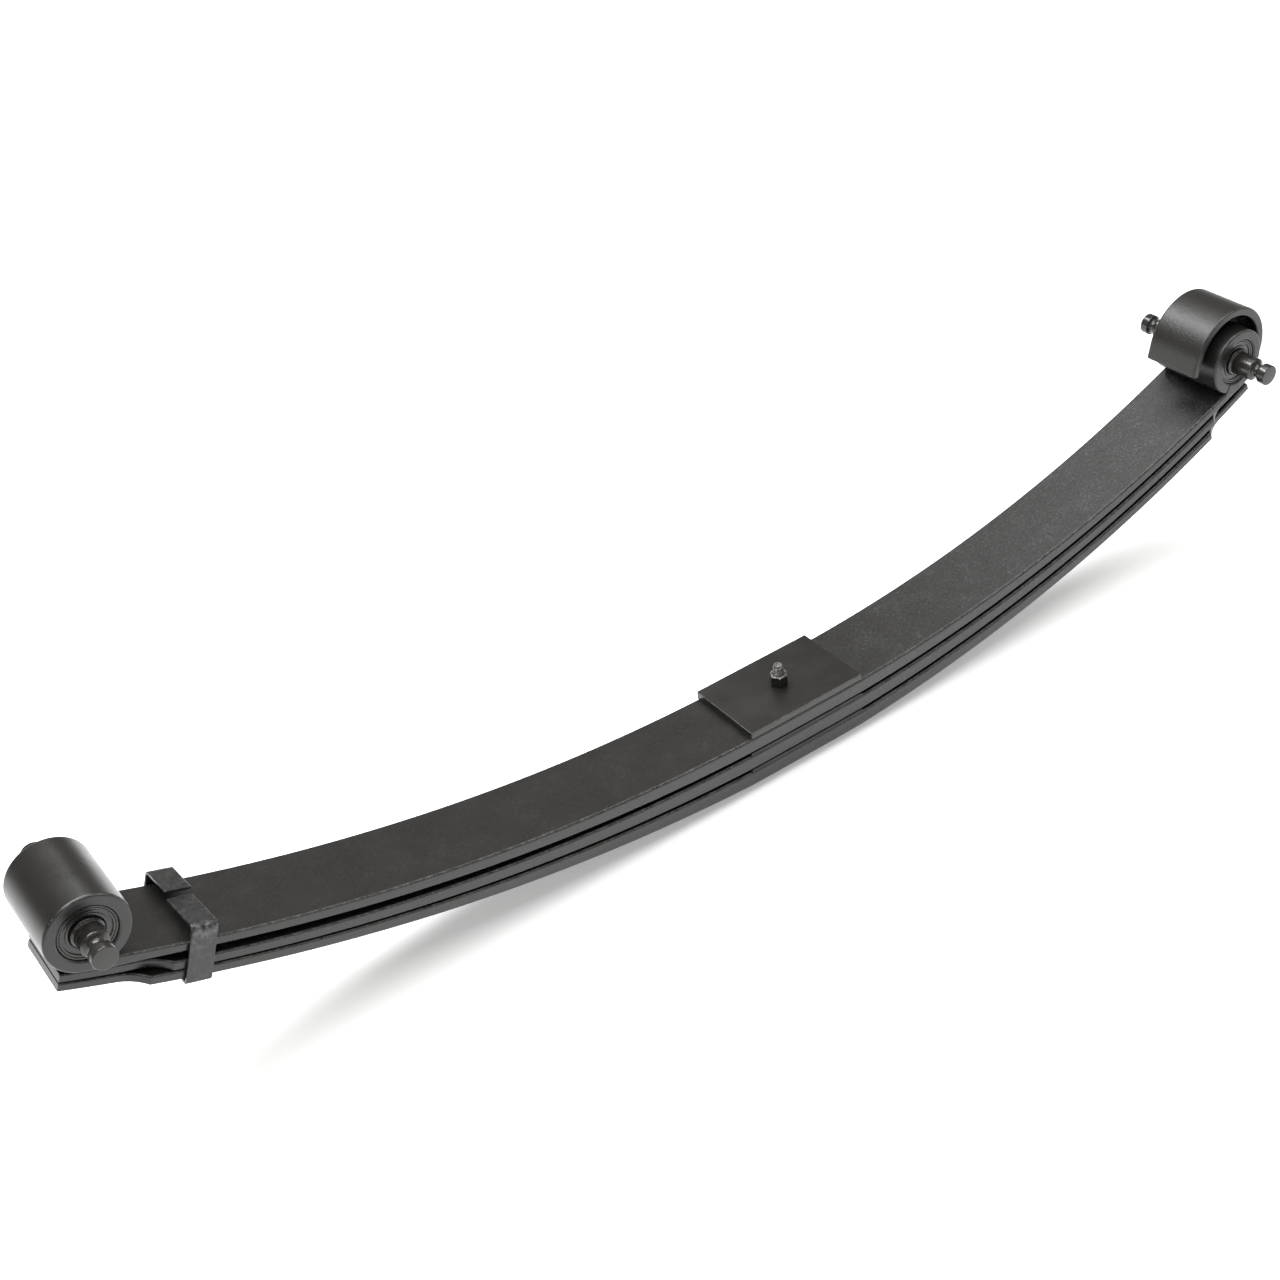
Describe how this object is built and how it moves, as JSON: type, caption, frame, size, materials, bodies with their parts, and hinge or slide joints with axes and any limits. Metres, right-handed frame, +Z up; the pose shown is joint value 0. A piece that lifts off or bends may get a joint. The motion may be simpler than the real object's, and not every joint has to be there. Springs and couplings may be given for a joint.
{
  "type": "leaf spring",
  "caption": "Tapered multi-leaf suspension spring with rolled eyes, one wrapped eye, rubber-bushed grooved pins, a rebound clip and a bolted centre plate.",
  "frame": {"origin": "underside of the third leaf on the centre bolt's axis, where the spring sits on its axle", "axes": "+X along the leaves towards the wrapped eye, Y across the leaves, +Z up from the axle seat"},
  "size_m": [1.661, 0.2, 0.3262],
  "materials": {
    "leaf_paint": "semi-gloss black paint over mill scale",
    "plate_paint": "satin black paint",
    "clip_paint": "semi-gloss black paint",
    "pin_paint": "gloss black paint",
    "bushing_paint": "semi-gloss black paint",
    "fastener_steel": "dark oiled steel",
    "liner": "matte",
    "rubber": "matte"
  },
  "bodies": {
    "root": {"main_leaf": "leaf_paint", "second_leaf": "leaf_paint", "third_leaf": "leaf_paint", "upper_liner": "liner", "lower_liner": "liner", "top_liner": "liner", "top_plate": "plate_paint", "centre_bolt": "fastener_steel", "centre_nut": "fastener_steel", "rebound_clip": "clip_paint", "clip_rivet": "fastener_steel", "left_sleeve": "bushing_paint", "left_rubber": "rubber", "left_near_washer": "bushing_paint", "left_far_washer": "bushing_paint", "right_sleeve": "bushing_paint", "right_rubber": "rubber", "right_near_washer": "bushing_paint", "right_far_washer": "bushing_paint"},
    "left_pin": {"left_pin": "pin_paint"},
    "right_pin": {"right_pin": "pin_paint"}
  },
  "joints": [
    {"name": "left_pin_swivel", "type": "hinge", "parent": "root", "child": "left_pin", "pos_m": [-0.838, 0, 0.26594], "axis": [0, 1, 0], "range_deg": [-20, 20], "stiffness_Nm_per_rad": 20},
    {"name": "right_pin_swivel", "type": "hinge", "parent": "root", "child": "right_pin", "pos_m": [0.718, 0, 0.24596], "axis": [0, 1, 0], "range_deg": [-20, 20], "stiffness_Nm_per_rad": 20}
  ]
}
